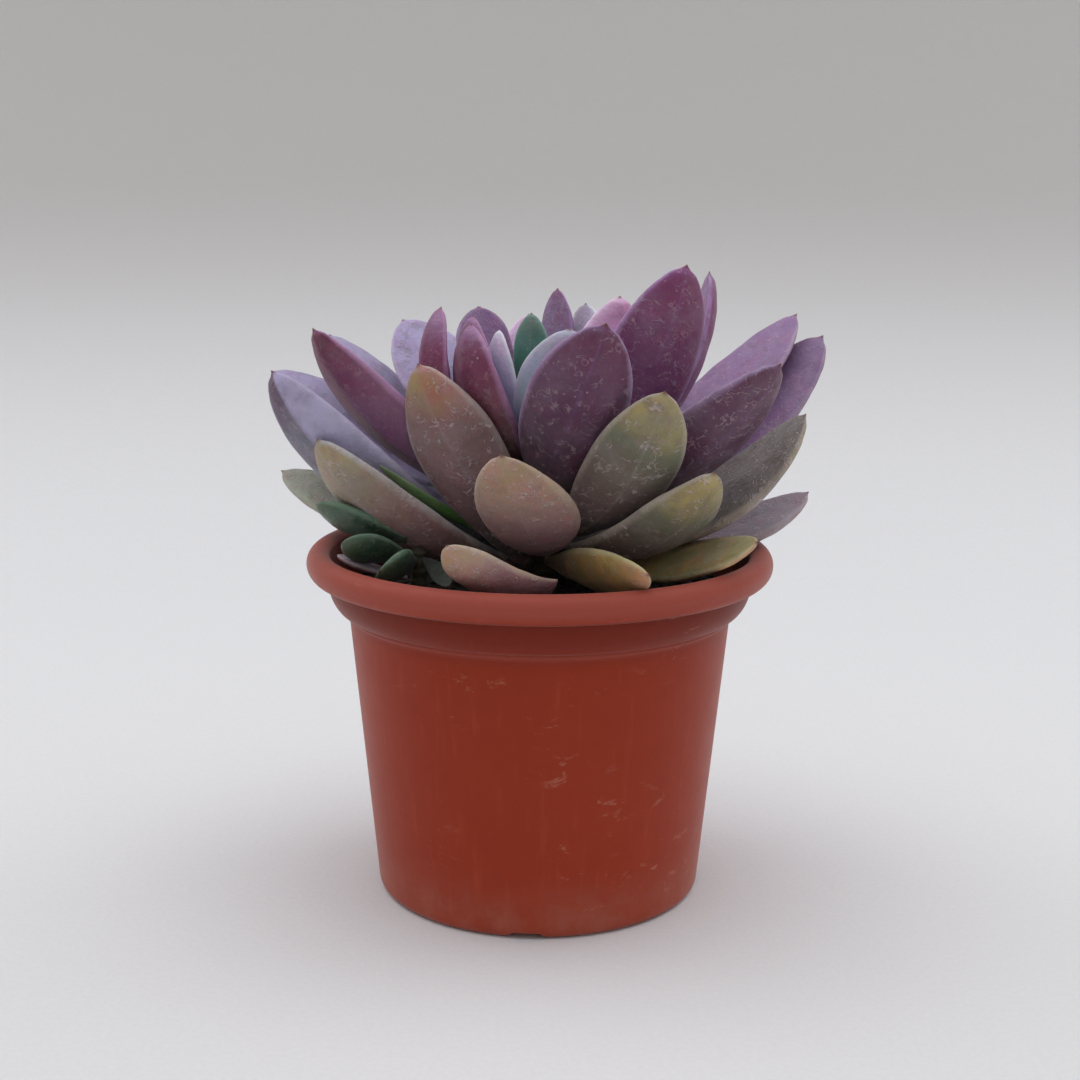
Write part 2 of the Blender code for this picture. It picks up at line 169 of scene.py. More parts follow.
SKINS = {
    "burgundy": Skin("34342A", "664046", "74264A", "641E3E", "A088B0", "A070A0", "B080AC", 0.10, 0.12, 0.48),
    "plum": Skin("343A2C", "583C50", "643458", "6A2848", "A08AA8", "7C5A92", "AC90BA", 0.12, 0.34, 0.46),
    "violet": Skin("564452", "84527A", "7C3E68", "782E54", "A88CB0", "885A92", "B894C6", 0.14, 0.34, 0.46),
    "mauve": Skin("4A4C3C", "78586C", "84628A", "803E68", "8E7098", "8A6A98", "B8A0BC", 0.20, 0.30, 0.50),
    "rosy": Skin("8A7A84", "D0A8CC", "E8BEE2", "CC88B0", "D8B4DE", "E4C8E6", "ECD4EC", 0.16, 0.20, 0.52),
    # A lighter copy of the frost skin: painted light for inner leaves that stand in the rosette's shade
    "pale": Skin("98A8B0", "D0DCEC", "E4E8FA", "D8C0DC", "DCE6F4", "EAEEF8", "F0F0F8", 0.18, 0.10, 0.54),
    "lavender": Skin("34382A", "687068", "8880A0", "7C5068", "A89CC0", "AEA4CC", "C8C0DC", 0.28, 0.28, 0.54),
    "olive": Skin("48442F", "96706E", "8E846E", "A8965C", "8C7E74", "A8B0B4", "B4B0AC", 0.16, 0.70, 0.50),
    "blushed": Skin("40402E", "7E6062", "826660", "A48848", "8C7E74", "A08C94", "B4A89C", 0.16, 0.70, 0.50),
    # The tan base and belly are lightened as painted light where the front leaf lies low against the rim in
    # shade
    "tan": Skin("B08890", "A07A80", "A88C78", "A88C60", "8E7466", "B0A08E", "C0AE94", 0.14, 0.80, 0.50),
    "moss": Skin("483622", "9A8248", "B89E54", "C09070", "8C8058", "B8B078", "C8C498", 0.12, 0.40, 0.48),
    "sage": Skin("50543F", "86866E", "8C8878", "8C7A62", "84887A", "A0A892", "A8AC98", 0.20, 0.50, 0.54),
    "dusty": Skin("5A5048", "8E7A78", "968686", "966A66", "8C8088", "A096A0", "AC9CA0", 0.24, 0.60, 0.54),
    "frost": Skin("6A968C", "96BABC", "B4C2DA", "B8A4BC", "B4C2D8", "C8D0E2", "D4DAE6", 0.30, 0.10, 0.54),
    "teal": Skin("34503F", "42785E", "4E8874", "6E6860", "5E8A7A", "70A090", "90B4A8", 0.10, 0.10, 0.48),
    "green": Skin("1A2C17", "24422B", "345438", "4A5A3C", "2C4C30", "4C705A", "6C8A70", 0.06, 0.05, 0.38),
    "ruby": Skin("34342A", "5E4044", "6C2644", "5C1C38", "A088B0", "8E5A88", "B48CB4", 0.08, 0.12, 0.46),
    "ridged": Skin("3A4A3C", "66766A", "6E6E7E", "5E3C58", "A89CC0", "B4ACD8", "C8C0E0", 0.26, 0.25, 0.54),
    "khaki": Skin("30302A", "786460", "6C7058", "B4A05C", "8C7E74", "9A9A8C", "B8AC9C", 0.14, 0.70, 0.50),
    # A dark copy of the green skin: painted shade for the small offset leaf low in the rosette's shadow
    "dim": Skin("0A100A", "10180F", "18241A", "202A20", "141E16", "26342A", "3A4A3A", 0.02, 0.02, 0.40),
    "umber": Skin("2C2A28", "625254", "5E5650", "9C905C", "84786E", "7C7A74", "A89C8C", 0.14, 0.60, 0.50),
    "wine": Skin("342E2C", "523648", "58304C", "5C2644", "907898", "6C5080", "A48AAE", 0.12, 0.40, 0.46),
    "bright": Skin("4E8A28", "56883F", "6A8A5C", "7A8A6A", "548C38", "86A47C", "88A878", 0.06, 0.00, 0.42),
}

# How far the outer face is drawn out into a keel; the old leaves are rounder.
ROUNDED_KEEL = 0.15
KEELS = {
    "burgundy": 0.65, "ruby": 0.65, "lavender": 0.65, "ridged": 0.65,
    "mauve": 0.5, "rosy": 0.5, "frost": 0.5, "pale": 0.5,
    "violet": 0.45, "wine": 0.45, "plum": 0.35, "khaki": 0.3,
}

# A second colour on one side of the keel: its code, its share, and the shares of the blade's length at
# which it sets in and is full. On the ruby and ridged skins it is painted light on the side that faces up.
SIDE_TONES = {
    SKINS["blushed"]: ("AC5C4C", 0.55, 0.74, 0.90),
    SKINS["ruby"]: ("9A6C98", 0.45, 0.95, 0.55),
    SKINS["ridged"]: ("C6BEE4", 0.85, 0.25, 0.70),
}
BLOOM_TONE = (0.50, 0.45, 0.54)
MARK_TONE = (0.70, 0.60, 0.60)
MUCRO_TONE = (0.13, 0.03, 0.02)

# The pot's colours, scene-linear, and the heights between which they change
PLASTIC_TONES = ((0.31, 0.033, 0.010), (0.34, 0.038, 0.012))
MOTTLE_TONE = (0.29, 0.029, 0.009)
FLOW_TONE = (0.50, 0.085, 0.04)
# The collar's tone is painted shade under the bead
COLLAR_PAINTED_SHADE_TONE = (0.155, 0.016, 0.007)
# The rim's tone is a painted highlight, also laid in a band where the collar meets the wall
RIM_HIGHLIGHT_TONE = (0.355, 0.080, 0.058)
# A lighter tone laid in patches towards the bottom of the pot
FOOT_LIGHTER_TONE = (0.40, 0.12, 0.08)
SCUFF_TONE = (0.50, 0.21, 0.15)
SPECK_TONE = (0.10, 0.03, 0.02)
COLLAR_PAINTED_SHADE_HEIGHTS = (57.0 * MM, 65.0 * MM)
# Heights of the painted highlight band where the collar meets the wall
COLLAR_FOOT_HIGHLIGHT_BELOW = (60.0 * MM, 60.8 * MM)
COLLAR_FOOT_HIGHLIGHT_ABOVE = (62.4 * MM, 61.6 * MM)
FOOT_LIGHTER_HEIGHTS = (16.0 * MM, 2.0 * MM)

# Soil and stem colours
SOIL_TONES = [(0.3, (0.005, 0.004, 0.003)), (0.55, (0.015, 0.011, 0.008)), (0.75, (0.034, 0.024, 0.016))]
BARK_CRUMB_TONE = (0.12, 0.075, 0.04)
STEM_TONES = [(0.3, (0.02, 0.02, 0.01)), (0.55, (0.05, 0.045, 0.022)), (0.75, (0.09, 0.07, 0.04))]
YOUNG_STEM_TONE = (0.10, 0.19, 0.13)

# Sweep, camera and light
FLOOR_TONE = (0.795, 0.80, 0.815)
# The back's darker tone, reached above the given height, is painted shade
SHADED_BACK_TONE = (0.50, 0.485, 0.475)
WEAVE_TONE = (0.50, 0.48, 0.46)
BACK_SHADE_FROM_Z = 0.16
SWEEP_FLAT = 0.3
SWEEP_CURVE_ACROSS = 0.5
SWEEP_CURVE_UP = 0.45
LIGHT_TARGET = (0, 0, 0.06)
WORLD_STRENGTH = 0.55
CAMERA_PLACE = (0.0, -366.0 * MM, 150.6 * MM)
CAMERA_PITCH = 0.2002
CAMERA_ROLL = 0.0059
CAMERA_LENS = 57.76
SENSOR = 36.0


class Graph:
    """A material's node tree, with short calls for the nodes used here."""

    def __init__(self, name):
        self.material = bpy.data.materials.new(name)
        self.material.use_nodes = True
        self.nodes = self.material.node_tree.nodes
        self.links = self.material.node_tree.links
        self.shader = self.nodes["Principled BSDF"]

    def put(self, socket, value):
        """Links a socket to another's output, or sets its own value."""
        if isinstance(value, bpy.types.NodeSocket):
            self.links.new(value, socket)
        elif isinstance(value, tuple) and len(value) == 3 and socket.type == "RGBA":
            socket.default_value = (*value, 1.0)
        else:
            socket.default_value = value

    def set(self, name, value):
        self.put(self.shader.inputs[name], value)

    def place(self):
        return self.nodes.new("ShaderNodeTexCoord").outputs["Object"]

    def attribute(self, name, output="Vector"):
        node = self.nodes.new("ShaderNodeAttribute")
        node.attribute_name = name
        return node.outputs[output]

    def split(self, vector):
        node = self.nodes.new("ShaderNodeSeparateXYZ")
        self.put(node.inputs[0], vector)
        return node.outputs

    def stretch(self, vector, scale):
        node = self.nodes.new("ShaderNodeMapping")
        self.put(node.inputs["Vector"], vector)
        node.inputs["Scale"].default_value = scale
        return node.outputs[0]

    def noise(self, vector, scale, detail=2.0, roughness=0.5, distortion=0.0):
        node = self.nodes.new("ShaderNodeTexNoise")
        self.put(node.inputs["Vector"], vector)
        node.inputs["Scale"].default_value = scale
        node.inputs["Detail"].default_value = detail
        node.inputs["Roughness"].default_value = roughness
        node.inputs["Distortion"].default_value = distortion
        return node.outputs["Fac"]

    def cells(self, vector, scale):
        node = self.nodes.new("ShaderNodeTexVoronoi")
        self.put(node.inputs["Vector"], vector)
        node.inputs["Scale"].default_value = scale
        return node.outputs

    def math(self, operation, first, second=0.5, clamp=False):
        node = self.nodes.new("ShaderNodeMath")
        node.operation = operation
        node.use_clamp = clamp
        self.put(node.inputs[0], first)
        self.put(node.inputs[1], second)
        return node.outputs[0]

    def smooth(self, value, low, high, to_low=0.0, to_high=1.0):
        """A smooth step from one level to another."""
        node = self.nodes.new("ShaderNodeMapRange")
        node.interpolation_type = "SMOOTHSTEP"
        self.put(node.inputs["Value"], value)
        node.inputs["From Min"].default_value = low
        node.inputs["From Max"].default_value = high
        node.inputs["To Min"].default_value = to_low
        node.inputs["To Max"].default_value = to_high
        return node.outputs[0]

    def mix(self, factor, first, second, blend="MIX"):
        node = self.nodes.new("ShaderNodeMix")
        node.data_type = "RGBA"
        node.blend_type = blend
        self.put(node.inputs[0], factor)
        self.put(node.inputs[6], first)
        self.put(node.inputs[7], second)
        return node.outputs[2]

    def ramp(self, value, stops):
        node = self.nodes.new("ShaderNodeValToRGB")
        self.put(node.inputs[0], value)
        elements = node.color_ramp.elements
        while len(elements) < len(stops):
            elements.new(0.5)
        for element, (place, colour) in zip(elements, stops):
            element.position = place
            element.color = (*colour, 1.0)
        return node.outputs[0]

    def bump(self, height, distance, strength=1.0, normal=None):
        node = self.nodes.new("ShaderNodeBump")
        node.inputs["Strength"].default_value = strength
        node.inputs["Distance"].default_value = distance
        self.put(node.inputs["Height"], height)
        if normal is not None:
            self.put(node.inputs["Normal"], normal)
        return node.outputs[0]


def linear(code):
    """A scene-linear colour from a hexadecimal sRGB code."""
    levels = [int(code[k : k + 2], 16) / 255 for k in (0, 2, 4)]
    return tuple(v / 12.92 if v < 0.04045 else ((v + 0.055) / 1.055) ** 2.4 for v in levels)


def leaf_material(name, skin):
    """Fleshy skin: colour along the blade with a base darkened partly as painted shade, mottling, a paler
    inner face, painted light on parts facing up and along the keel, a margin paler partly as painted
    highlight, bloom and marks.
    """
    base, belly, shoulder, tip, upper_tone, painted_top_light, margin = (linear(code) for code in skin[:7])
    g = Graph(name)
    place = g.place()
    blade = g.split(g.attribute("blade"))
    across, along, upper = blade[0], blade[1], blade[2]
    tone = g.attribute("tone", "Fac")
    broad = g.noise(place, 75, 3)
    middle = g.noise(place, 240, 4, 0.6)
    fine = g.noise(place, 1100, 4, 0.65)

    shifted = g.math("ADD", along, g.math("MULTIPLY", g.math("SUBTRACT", broad, 0.5), 0.4))
    # A dark base stop is partly the leaf's own greener base and partly painted shade deep among the crowded
    # leaves; the inner face likewise darkens towards the base.
    outer_face = g.ramp(shifted, [(0.16, base), (0.48, belly), (0.78, shoulder), (1.0, tip)])
    inner_shade = tuple(0.55 * c for c in upper_tone)
    inner_face = g.ramp(shifted, [(0.05, base), (0.35, inner_shade), (0.75, upper_tone)])
    colour = g.mix(g.smooth(upper, 0.35, 0.65), outer_face, inner_face)

    # Painted light: parts that face up are drawn towards a lighter top tone
    facing = g.split(g.nodes.new("ShaderNodeNewGeometry").outputs["Normal"])[2]
    painted_top_light_share = g.math("MULTIPLY", g.smooth(facing, -0.05, 0.6), g.smooth(broad, 0.25, 0.65, 0.4, 0.85))
    colour = g.mix(painted_top_light_share, colour, painted_top_light)
    patches = g.smooth(middle, 0.42, 0.68)
    warm = tuple(min(1.0, c * k) for c, k in zip(shoulder, (1.35, 0.85, 1.05)))
    colour = g.mix(g.math("MULTIPLY", patches, 0.45), colour, warm)
    cool = tuple(0.62 * c for c in belly)
    hollows = g.smooth(g.noise(place, 330, 3, 0.6), 0.50, 0.30, 0.0, 0.32)
    colour = g.mix(hollows, colour, cool)
    # On the ruby and ridged skins this side colour is painted light on the side facing up
    if skin in SIDE_TONES:
        side_tone, share, side_from, side_full = SIDE_TONES[skin]
        side = g.math("MULTIPLY", g.smooth(across, -0.15, 0.12), g.smooth(along, side_from, side_full))
        side = g.math("MULTIPLY", side, g.smooth(middle, 0.25, 0.6, 0.6, 1.0))
        colour = g.mix(g.math("MULTIPLY", side, share), colour, linear(side_tone))
    # Painted highlight: a thin lighter line along the keel on the outer face
    keel_line = g.smooth(g.math("ABSOLUTE", across), 0.07, 0.0)
    ridge = g.math("MULTIPLY", keel_line, g.smooth(middle, 0.35, 0.6, 0.05, 0.35))
    colour = g.mix(g.math("MULTIPLY", ridge, g.smooth(upper, 0.6, 0.4)), colour, painted_top_light)
    # The margin is paler, partly the skin's own colour and partly a painted highlight along the blade's lit
    # border
    pale_margin_highlight = g.smooth(g.math("ABSOLUTE", across), 0.86, 1.0)
    colour = g.mix(g.math("MULTIPLY", pale_margin_highlight, g.smooth(middle, 0.25, 0.6, 0.2, 0.7)), colour, margin)

    powder = g.math("MULTIPLY", g.smooth(g.noise(place, 130, 5, 0.7), 0.35, 0.7), skin.bloom * 1.2, True)
    powder = g.math("MULTIPLY", powder, g.smooth(fine, 0.2, 0.7, 0.5, 1.0))
    colour = g.mix(powder, colour, BLOOM_TONE)

    marks = water_marks(g, place, middle)
    colour = g.mix(g.math("MULTIPLY", marks, skin.marks * 0.50 + 0.05), colour, MARK_TONE)
    speck = g.smooth(g.cells(place, 620)["Distance"], 0.20, 0.08)
    speck = g.math("MULTIPLY", speck, g.smooth(g.noise(place, 90, 2), 0.55, 0.72, 0.0, 0.45))
    colour = g.mix(speck, colour, MARK_TONE)

    colour = g.mix(g.smooth(along, 0.982, 0.997, 0.0, 0.9), colour, MUCRO_TONE)
    lightness = g.ramp(tone, [(0.0, (0.86, 0.86, 0.86)), (1.0, (1.12, 1.12, 1.12))])
    g.set("Base Color", g.mix(1.0, colour, lightness, "MULTIPLY"))

    rough = g.math("ADD", g.math("MULTIPLY", g.math("SUBTRACT", middle, 0.5), 0.25), skin.roughness)
    g.set("Roughness", g.math("ADD", rough, g.math("MULTIPLY", marks, 0.15), True))
    grain = g.bump(fine, 0.00012, 0.6)
    wrinkled = g.bump(g.noise(place, 420, 3, 0.6), 0.00045, 0.6, grain)
    g.set("Normal", g.bump(marks, 0.00028, 0.8 * skin.marks + 0.15, wrinkled))
    g.set("Subsurface Weight", 0.10)
    g.set("Subsurface Radius", (1.0, 0.45, 0.3))
    g.set("Subsurface Scale", 0.002)
    g.set("Sheen Weight", 0.08)
    g.set("Sheen Roughness", 0.45)
    g.set("Sheen Tint", (0.86, 0.82, 0.95, 1.0))
    g.set("Specular IOR Level", 0.45)
    return g.material


def water_marks(g, place, middle):
    """Broken curls and small rings where drops have dried on the bloom."""
    curl_field = g.noise(place, 480, 1.5, 0.5, 0.8)
    gap = g.math("ABSOLUTE", g.math("SUBTRACT", curl_field, 0.5))
    curls = g.math("MULTIPLY", g.smooth(gap, 0.036, 0.010), g.smooth(g.noise(place, 380, 1), 0.47, 0.57))
    wobble = g.nodes.new("ShaderNodeVectorMath")
    wobble.operation = "MULTIPLY_ADD"
    twist = g.nodes.new("ShaderNodeTexNoise")
    g.put(twist.inputs["Vector"], place)
    twist.inputs["Scale"].default_value = 500
    g.put(wobble.inputs[0], twist.outputs["Color"])
    wobble.inputs[1].default_value = (0.0012, 0.0012, 0.0012)
    g.put(wobble.inputs[2], place)
    distance = g.cells(wobble.outputs[0], 560)["Distance"]
    ring = g.smooth(g.math("ABSOLUTE", g.math("SUBTRACT", distance, 0.34)), 0.09, 0.02)
    rings = g.math("MULTIPLY", ring, g.smooth(middle, 0.54, 0.66))
    return g.math("MAXIMUM", curls, rings)


def add_mesh(name, verts, faces, material, smooth=True):
    mesh = bpy.data.meshes.new(name)
    mesh.from_pydata([tuple(v) for v in verts], [], [tuple(f) for f in faces])
    mesh.update()
    if smooth:
        mesh.shade_smooth()
    thing = bpy.data.objects.new(name, mesh)
    bpy.context.scene.collection.objects.link(thing)
    mesh.materials.append(material)
    return thing


def settle(piece, slot, *nodes):
    """Every piece rides on the one body and stands for its CAD nodes; the slot is not used."""
    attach(piece, "root")
    if nodes:
        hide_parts(*nodes)


def blade_width(along, base_width=LEAF_BASE_WIDTH):
    """Half of the blade's width as a share of the widest, down to the tip's fine point."""
    if along < LEAF_WIDEST_AT:
        swell = math.sin(along / LEAF_WIDEST_AT * math.pi / 2) ** 1.35
        return base_width + (1 - base_width) * swell
    past = (min(along, MUCRO_FROM) - LEAF_WIDEST_AT) / (1 - LEAF_WIDEST_AT)
    share = (1 - past**2.3) ** 0.75
    if along > MUCRO_FROM:
        share *= ((1 - along) / (1 - MUCRO_FROM)) ** 1.5
    return share


def blade_thickness(along):
    if along < 0.5:
        return 0.45 + 0.55 * math.sin(along * math.pi)
    past = (min(along, MUCRO_FROM) - 0.5) / 0.5
    share = (1 - past**2.5) ** 0.6
    if along > MUCRO_FROM:
        share *= ((1 - along) / (1 - MUCRO_FROM)) ** 1.2
    return share


def spine(leaf, start_radius, place, stations):
    """The spine's points with their (side, upper) directions, closer together towards the tip."""
    steps = 600
    heading = math.radians(leaf.heading)
    start = (math.sin(heading) * start_radius, -math.cos(heading) * start_radius, leaf.height * MM)
    point = Vector(start) + Vector((*place, 0))
    path = []
    before = None
    for k in range(steps + 1):
        along = k / steps
        turn = math.radians(leaf.heading + leaf.sweep * along)
        rise = math.radians(leaf.rise + (leaf.end_rise - leaf.rise) * along)
        outward = Vector((math.sin(turn), -math.cos(turn), 0))
        side = Vector((math.cos(turn), math.sin(turn), 0))
        ahead = outward * math.cos(rise) + Vector((0, 0, math.sin(rise)))
        upper = Vector((0, 0, math.cos(rise))) - outward * math.sin(rise)
        if before is not None:
            point = point + (ahead + before) * (leaf.length * MM / steps / 2)
        before = ahead
        twist = math.radians(leaf.twist)
        turned_side = side * math.cos(twist) + upper * math.sin(twist)
        turned_upper = upper * math.cos(twist) - side * math.sin(twist)
        path.append((point, turned_side, turned_upper))
    return [path[round(steps * along)] for along in stations]


def leaf_piece(leaf, start_radius, place, materials, seed):
    """One blade: flat to slightly dished above, rounded with a keel below, and a pointed tip."""
    stations = [1 - (1 - k / BLADE_STATIONS) ** 1.35 for k in range(BLADE_STATIONS + 1)]
    frames = spine(leaf, start_radius, place, stations)
    thickness = min(LEAF_THICKNESS, LEAF_THICKNESS_SHARE * leaf.width * MM)
    leaf_keel = KEELS.get(leaf.skin, ROUNDED_KEEL)
    base_width = LOOSE_BASE_WIDTH if start_radius == LOOSE_START else LEAF_BASE_WIDTH
    verts = []
    blade = []
    shift = Vector((seed * 1.7, seed * 0.9, seed * 2.3))
    for along, (point, side, upper) in zip(stations[:-1], frames[:-1]):
        wave = 1 + 0.03 * noise.noise(Vector((along * 5, seed * 3.1, 0)))
        half = leaf.width * MM / 2 * blade_width(along, base_width) * wave
        depth = thickness * blade_thickness(along)
        keel = leaf_keel * (0.35 + 0.65 * along)
        for n in range(BLADE_SIDES):
            turn = 2 * math.pi * n / BLADE_SIDES
            x = math.cos(turn)
            inside = max(0.0, 1 - x * x)
            if math.sin(turn) > 0:
                height = depth * LEAF_UPPER_SHARE * (inside**0.55 - 0.30 * inside**2)
            else:
                ridge = (1 - abs(x)) ** 0.9
                height = -depth * (1 - LEAF_UPPER_SHARE) * ((1 - keel) * inside**0.5 + keel * ridge)
            spot = point + side * (half * x) + upper * height
            lump = noise.noise(spot * 110 + shift) * 0.28 + noise.noise(spot * 330 + shift) * 0.09
            outward = (side * x * 0.35 + upper * (1 if height > 0 else -1)).normalized()
            verts.append(spot + outward * (lump * MM * min(1.0, depth / (3 * MM))))
            blade.append((x, along, 1.0 if math.sin(turn) > 1e-6 else 0.0))
    verts.append(frames[-1][0])
    blade.append((0.0, 1.0, 0.5))
    faces = [tuple(range(BLADE_SIDES))[::-1]]
    for k in range(BLADE_STATIONS - 1):
        for n in range(BLADE_SIDES):
            after = (n + 1) % BLADE_SIDES
            row = k * BLADE_SIDES
            faces.append((row + n, row + after, row + BLADE_SIDES + after, row + BLADE_SIDES + n))
    last = (BLADE_STATIONS - 1) * BLADE_SIDES
    for n in range(BLADE_SIDES):
        faces.append((last + n, last + (n + 1) % BLADE_SIDES, len(verts) - 1))
    piece = add_mesh(leaf.name + "_blade", verts, faces, materials[leaf.skin])
    face_outward(piece)
    spots = piece.data.attributes.new("blade", "FLOAT_VECTOR", "POINT")
    spots.data.foreach_set("vector", np.array(blade, np.float32).ravel())
    tone = piece.data.attributes.new("tone", "FLOAT", "POINT")
    tone.data.foreach_set("value", np.full(len(verts), random.random(), np.float32))
    return piece


def face_outward(piece):
    body = bmesh.new()
    body.from_mesh(piece.data)
    bmesh.ops.recalc_face_normals(body, faces=body.faces)
    body.to_mesh(piece.data)
    body.free()


def make_leaves():
    random.seed(11)
    materials = {name: leaf_material("skin_" + name, skin) for name, skin in SKINS.items()}
    slots = {kind: kind + "_leaves" for kind in ("old", "outer", "middle", "inner")}
    plants = [
        (LEAVES, ROSETTE_RADIUS, (0, 0)),
        (OFFSET_LEAVES, OFFSET_ROSETTE_RADIUS, OFFSET_PLACE),
        (LOOSE_LEAVES, LOOSE_START, LOOSE_PLACE),
    ]
    seed = 0
    for leaves, start_radius, place in plants:
        for leaf in leaves:
            seed += 1
            piece = leaf_piece(leaf, start_radius, place, materials, seed)
            settle(piece, slots.get(leaf.name.split("_")[0], "offset_leaves"), leaf.name)


def arc(centre, radius_across, radius_up, start, end, count):
    points = []
    for k in range(count + 1):
        turn = math.radians(start + (end - start) * k / count)
        across, up = radius_across * math.cos(turn), radius_up * math.sin(turn)
        points.append((centre[0] + across, centre[1] + up))
    return points


def collar(inset, rise, count):
    width = COLLAR_RADIUS - WALL_TOP_RADIUS
    height = BEAD_UNDERSIDE - COLLAR_START_Z
    centre = (WALL_TOP_RADIUS - inset, BEAD_UNDERSIDE + rise)
    return arc(centre, width, height, -90, 0, count)


def pot_profile():
    """The construction's profile with finer arcs and a small bead where the collar meets the wall."""
    fillet_centre = (BASE_RADIUS - FOOT_FILLET, FOOT_FILLET)
    bead_across = 0.54 * (RIM_RADIUS - RIM_OPENING_RADIUS)
    bead_centre = (RIM_RADIUS - bead_across, BEAD_WIDEST_Z)
    outside = [(0, 0), (20 * MM, 0)] + arc(fillet_centre, FOOT_FILLET, FOOT_FILLET, -90, 0, 10)
    wall_steps = 24
    for k in range(1, wall_steps):
        share = k / wall_steps
        radius = BASE_RADIUS + (WALL_TOP_RADIUS - BASE_RADIUS) * share
        outside.append((radius, FOOT_FILLET + (COLLAR_START_Z - FOOT_FILLET) * share))
    outside += arc((WALL_TOP_RADIUS - 0.1 * MM, COLLAR_START_Z), 0.65 * MM, 0.95 * MM, -80, 40, 10)
    outside += collar(0, 0, 18)[2:]
    outside += arc(bead_centre, bead_across, RIM_HEIGHT - BEAD_WIDEST_Z, -90, 150, 30)
    inside = [(RIM_OPENING_RADIUS - 0.4 * MM, BEAD_UNDERSIDE + WALL)]
    inside += collar(WALL, WALL, 10)[-2::-1]
    inside.append((BASE_RADIUS - WALL, FLOOR + FOOT_FILLET))
    inside += [(BASE_RADIUS - WALL - FOOT_FILLET, FLOOR), (0, FLOOR)]
    return outside + inside


def turned(name, profile, segments, material):
    """A closed solid of revolution about Z from (radius, z) points."""
    verts = []
    rings = []
    for radius, z in profile:
        count = 1 if radius == 0 else segments
        rings.append([len(verts) + k for k in range(count)])
        for k in range(count):
            turn = 2 * math.pi * k / segments
            verts.append((radius * math.cos(turn), radius * math.sin(turn), z))
    faces = []
    for below, above in zip(rings, rings[1:]):
        for k in range(segments):
            after = (k + 1) % segments
            corners = [below[k % len(below)], below[after % len(below)]]
            corners += [above[after % len(above)], above[k % len(above)]]
            faces.append(tuple(dict.fromkeys(corners)))
    piece = add_mesh(name, verts, faces, material)
    face_outward(piece)
    return piece


def cut(piece, cutters):
    """Cuts the solids away, keeps the result as the piece's mesh and removes the cutters."""
    for cutter in cutters:
        step = piece.modifiers.new("cut", "BOOLEAN")
        step.operation = "DIFFERENCE"
        step.solver = "EXACT"
        step.object = cutter
    bpy.context.view_layer.update()
    graph = bpy.context.evaluated_depsgraph_get()
    mesh = bpy.data.meshes.new_from_object(piece.evaluated_get(graph))
    piece.modifiers.clear()
    piece.data = mesh
    for cutter in cutters:
        bpy.data.objects.remove(cutter, do_unlink=True)


def drain_cutters(turn, material):
    """One drain channel's trapezoid and its round hole."""
    spread = (DRAIN_WIDTH_BELOW - DRAIN_WIDTH_ABOVE) / 2
    section = [
        (-DRAIN_WIDTH_BELOW / 2 - spread, -DRAIN_HEIGHT),
        (DRAIN_WIDTH_BELOW / 2 + spread, -DRAIN_HEIGHT),
        (DRAIN_WIDTH_ABOVE / 2, DRAIN_HEIGHT),
        (-DRAIN_WIDTH_ABOVE / 2, DRAIN_HEIGHT),
    ]
    far = BASE_RADIUS + 4 * MM
    verts = [(x, -DRAIN_HOLE_CENTRE, z) for x, z in section] + [(x, -far, z) for x, z in section]
    faces = [(0, 1, 2, 3), (7, 6, 5, 4)] + [(k, k + 4, (k + 1) % 4 + 4, (k + 1) % 4) for k in range(4)]
    channel = add_mesh("drain_channel", verts, faces, material, False)
    face_outward(channel)
    channel.rotation_euler.z = turn
    outline = [(0, -MM), (DRAIN_HOLE_RADIUS, -MM), (DRAIN_HOLE_RADIUS, FLOOR + MM), (0, FLOOR + MM)]
    hole = turned("drain_hole", outline, 40, material)
    hole.location = (DRAIN_HOLE_CENTRE * math.sin(turn), -DRAIN_HOLE_CENTRE * math.cos(turn), 0)
    return [channel, hole]


